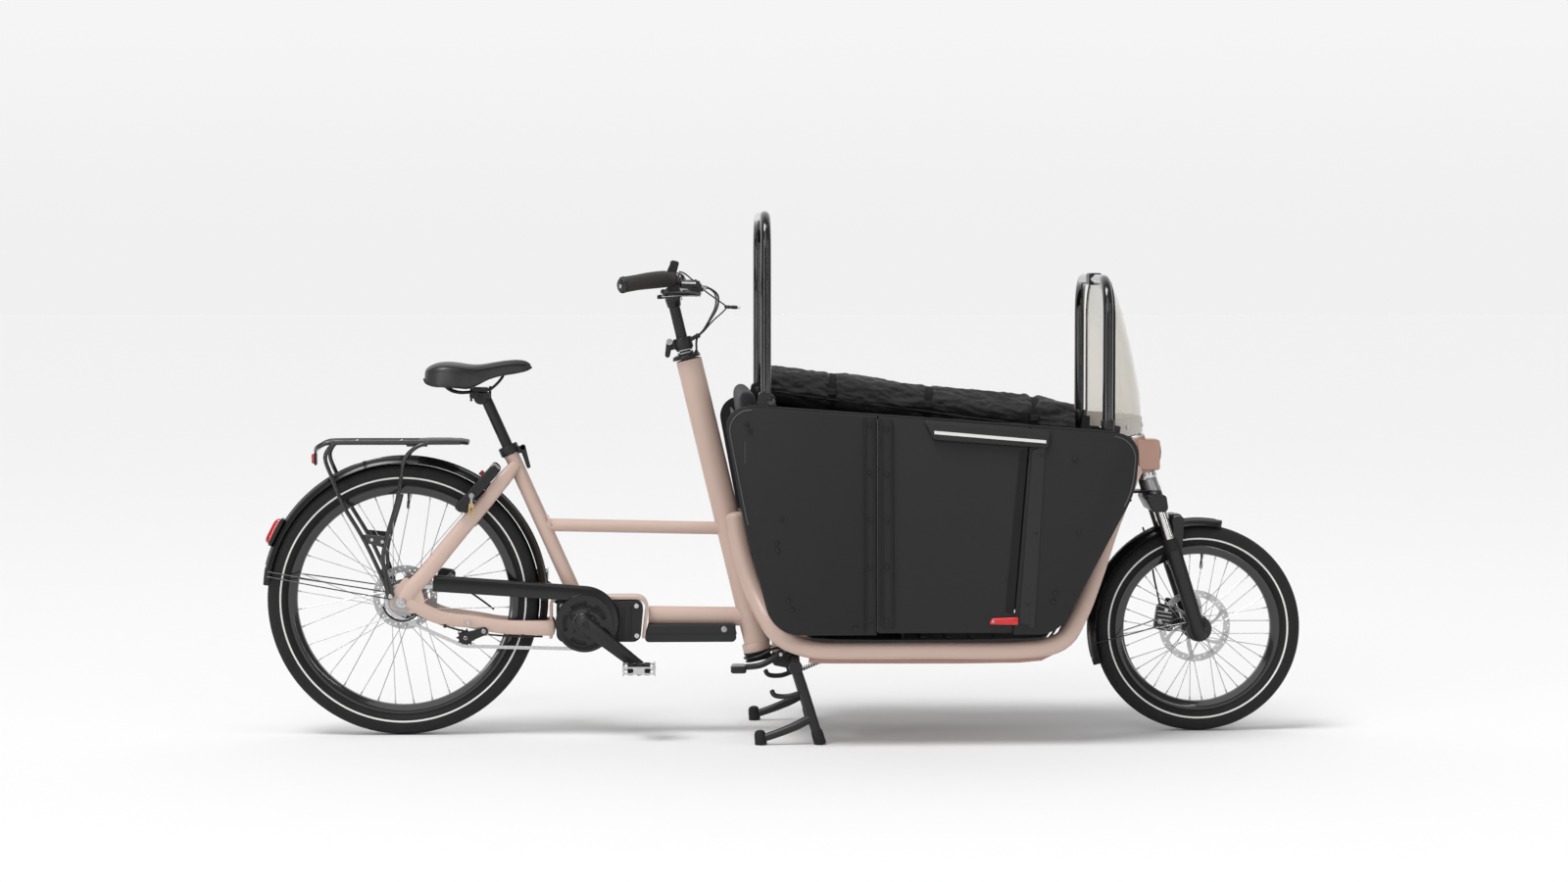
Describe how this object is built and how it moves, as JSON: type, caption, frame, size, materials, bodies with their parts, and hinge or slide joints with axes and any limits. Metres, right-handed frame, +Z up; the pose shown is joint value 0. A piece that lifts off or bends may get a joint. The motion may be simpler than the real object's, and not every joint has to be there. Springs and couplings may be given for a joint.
{
  "type": "cargo bicycle",
  "caption": "Front-loading cargo bicycle: open box with side door, bench and roof hoops between a small front and a larger rear wheel, with a mid motor and a centre stand.",
  "frame": {"origin": "middle of the bounding box at ground level", "axes": "+X forwards, +Y to the rider's left, +Z up"},
  "size_m": [2.5871, 0.6732, 1.2975],
  "materials": {
    "frame_paint": "satin pinkish beige",
    "panel": "matt charcoal",
    "black_metal": "satin black",
    "black_plastic": "satin black",
    "silver": "bright",
    "tyre": "matt black",
    "rubber": "matt black",
    "fabric": "woven black",
    "cushion": "woven grey",
    "clear": "clear, slightly yellow",
    "red": "bright red"
  },
  "bodies": {
    "frame": {"rear_frame": "frame_paint", "keel_beam": "frame_paint", "right_side_rail": "frame_paint", "left_side_rail": "frame_paint", "head_tube": "frame_paint", "box_tub": "panel", "left_side_panel": "panel", "right_rear_panel": "panel", "right_front_panel": "panel", "bench_seat": "cushion", "rear_hoop": "black_metal", "front_hoop": "black_metal", "windscreen": "clear", "rolled_tent": "fabric", "motor_housing": "black_plastic", "chain_case": "black_plastic", "battery": "black_plastic", "rear_mudguard": "black_plastic", "rear_rack": "black_metal", "tail_light": "red", "ring_lock": "black_metal", "rear_brake_caliper": "black_metal", "chain": "silver", "steering_cable": "rubber"},
    "steering_column": {"steering_shaft": "black_metal"},
    "stem_lever": {"stem_clamp_lever": "black_metal"},
    "handlebar": {"handlebar": "black_metal", "right_grip": "rubber", "left_grip": "rubber", "display": "black_plastic", "display_cable": "rubber", "right_brake_hose": "rubber", "left_brake_hose": "rubber"},
    "right_brake": {"right_brake_lever": "black_metal"},
    "left_brake": {"left_brake_lever": "black_metal"},
    "shifter": {"shift_lever": "black_plastic"},
    "seatpost": {"seatpost": "black_metal", "saddle": "rubber"},
    "seat_lever": {"seat_clamp_lever": "black_metal"},
    "fork": {"fork_crown": "silver"},
    "fork_slider": {"fork_lowers": "black_metal", "front_mudguard": "black_plastic", "front_brake_caliper": "black_metal"},
    "front_wheel": {"front_tyre": "tyre", "front_rim": "silver", "front_brake_disc": "silver"},
    "crank": {"crankset": "black_metal"},
    "right_pedal": {"right_pedal": "silver"},
    "left_pedal": {"left_pedal": "silver"},
    "rear_wheel": {"rear_tyre": "tyre", "rear_rim": "silver", "rear_brake_disc": "silver"},
    "rear_sprocket": {"rear_sprocket": "silver"},
    "chain_tensioner": {"chain_tensioner": "black_plastic"},
    "stand": {"stand": "black_metal"},
    "stand_pedal": {"stand_pedal": "black_metal"},
    "side_door": {"side_door": "panel"},
    "door_latch": {"door_latch": "red"},
    "ring_lock_bolt": {"ring_lock_bolt": "silver"}
  },
  "joints": [
    {"name": "rear_wheel_spin", "type": "hinge", "parent": "frame", "child": "rear_wheel", "pos_m": [-0.945, 0, 0.337], "axis": [0, 1, 0], "continuous": true},
    {"name": "front_wheel_spin", "type": "hinge", "parent": "fork_slider", "child": "front_wheel", "pos_m": [1.035, 0, 0.2585], "axis": [0, 1, 0], "continuous": true},
    {"name": "crank_spin", "type": "hinge", "parent": "frame", "child": "crank", "pos_m": [-0.496, 0, 0.281], "axis": [0, 1, 0], "continuous": true},
    {"name": "right_pedal_spin", "type": "hinge", "parent": "crank", "child": "right_pedal", "pos_m": [-0.36204, -0.142, 0.17634], "axis": [0, 1, 0], "continuous": true},
    {"name": "left_pedal_spin", "type": "hinge", "parent": "crank", "child": "left_pedal", "pos_m": [-0.62996, 0.142, 0.38566], "axis": [0, 1, 0], "continuous": true},
    {"name": "rear_sprocket_spin", "type": "hinge", "parent": "frame", "child": "rear_sprocket", "pos_m": [-0.945, -0.052, 0.337], "axis": [0, 1, 0], "continuous": true},
    {"name": "chain_tensioner_swing", "type": "hinge", "parent": "frame", "child": "chain_tensioner", "pos_m": [-0.745, -0.052, 0.262], "axis": [0, 1, 0], "range_deg": [0, 12], "stiffness_Nm_per_rad": 1, "springref_deg": -17.19},
    {"name": "steering_turn", "type": "hinge", "parent": "frame", "child": "steering_column", "pos_m": [-0.243, 0, 0.94], "axis": [-0.2334, 0, 0.9724], "range_deg": [-45, 45]},
    {"name": "fork_steer", "type": "hinge", "parent": "frame", "child": "fork", "pos_m": [0.908, 0, 0.635], "axis": [-0.3091, 0, 0.951], "range_deg": [-45, 45]},
    {"name": "handlebar_height", "type": "slide", "parent": "steering_column", "child": "handlebar", "axis": [-0.2334, 0, 0.9724], "range_m": [-0.05, 0.04], "deforming": ["right_brake_hose", "left_brake_hose", "display_cable"]},
    {"name": "stem_clamp", "type": "hinge", "parent": "steering_column", "child": "stem_lever", "pos_m": [-0.2845, 0, 0.975], "axis": [0, 1, 0], "range_deg": [0, 100]},
    {"name": "right_brake_pull", "type": "hinge", "parent": "handlebar", "child": "right_brake", "pos_m": [-0.215, -0.178, 1.096], "axis": [0, 0, -1], "range_deg": [0, 18], "stiffness_Nm_per_rad": 0.3, "springref_deg": -11.46},
    {"name": "left_brake_pull", "type": "hinge", "parent": "handlebar", "child": "left_brake", "pos_m": [-0.215, 0.178, 1.096], "axis": [0, 0, 1], "range_deg": [0, 18], "stiffness_Nm_per_rad": 0.3, "springref_deg": -11.46},
    {"name": "shift_push", "type": "hinge", "parent": "handlebar", "child": "shifter", "pos_m": [-0.275, -0.19, 1.093], "axis": [0, 0, 1], "range_deg": [0, 20], "stiffness_Nm_per_rad": 0.1, "springref_deg": -11.46},
    {"name": "seat_height", "type": "slide", "parent": "frame", "child": "seatpost", "axis": [-0.4104, 0, 0.9119], "range_m": [-0.1, 0.08]},
    {"name": "seat_clamp", "type": "hinge", "parent": "frame", "child": "seat_lever", "pos_m": [-0.6485, 0, 0.714], "axis": [0, -1, 0], "range_deg": [0, 120]},
    {"name": "fork_travel", "type": "slide", "parent": "fork", "child": "fork_slider", "axis": [-0.3091, 0, 0.951], "range_m": [0, 0.035], "stiffness_N_per_m": 12000, "springref_m": -0.04},
    {"name": "stand_fold", "type": "hinge", "parent": "frame", "child": "stand", "pos_m": [0.019, 0, 0.188], "axis": [0, 1, 0], "range_deg": [0, 75]},
    {"name": "stand_pedal_press", "type": "hinge", "parent": "frame", "child": "stand_pedal", "pos_m": [-0.012, -0.085, 0.205], "axis": [0, -1, 0], "range_deg": [0, 30], "stiffness_Nm_per_rad": 0.8, "springref_deg": -34.38},
    {"name": "door_swing", "type": "hinge", "parent": "frame", "child": "side_door", "pos_m": [0.213, -0.3105, 0.53], "axis": [0, 0, -1], "range_deg": [0, 110]},
    {"name": "latch_turn", "type": "hinge", "parent": "side_door", "child": "door_latch", "pos_m": [0.492, -0.313, 0.306], "axis": [0, -1, 0], "range_deg": [0, 90]},
    {"name": "ring_lock_turn", "type": "hinge", "parent": "frame", "child": "ring_lock_bolt", "pos_m": [-0.7785, 0, 0.6007], "axis": [0.736, 0, -0.677], "range_deg": [0, 100], "stiffness_Nm_per_rad": 0.1, "springref_deg": -34.38}
  ],
  "couplings": [
    {"joint": "rear_sprocket_spin", "follows": "crank_spin", "ratio": 1.6},
    {"joint": "fork_steer", "follows": "steering_turn", "ratio": 1}
  ]
}
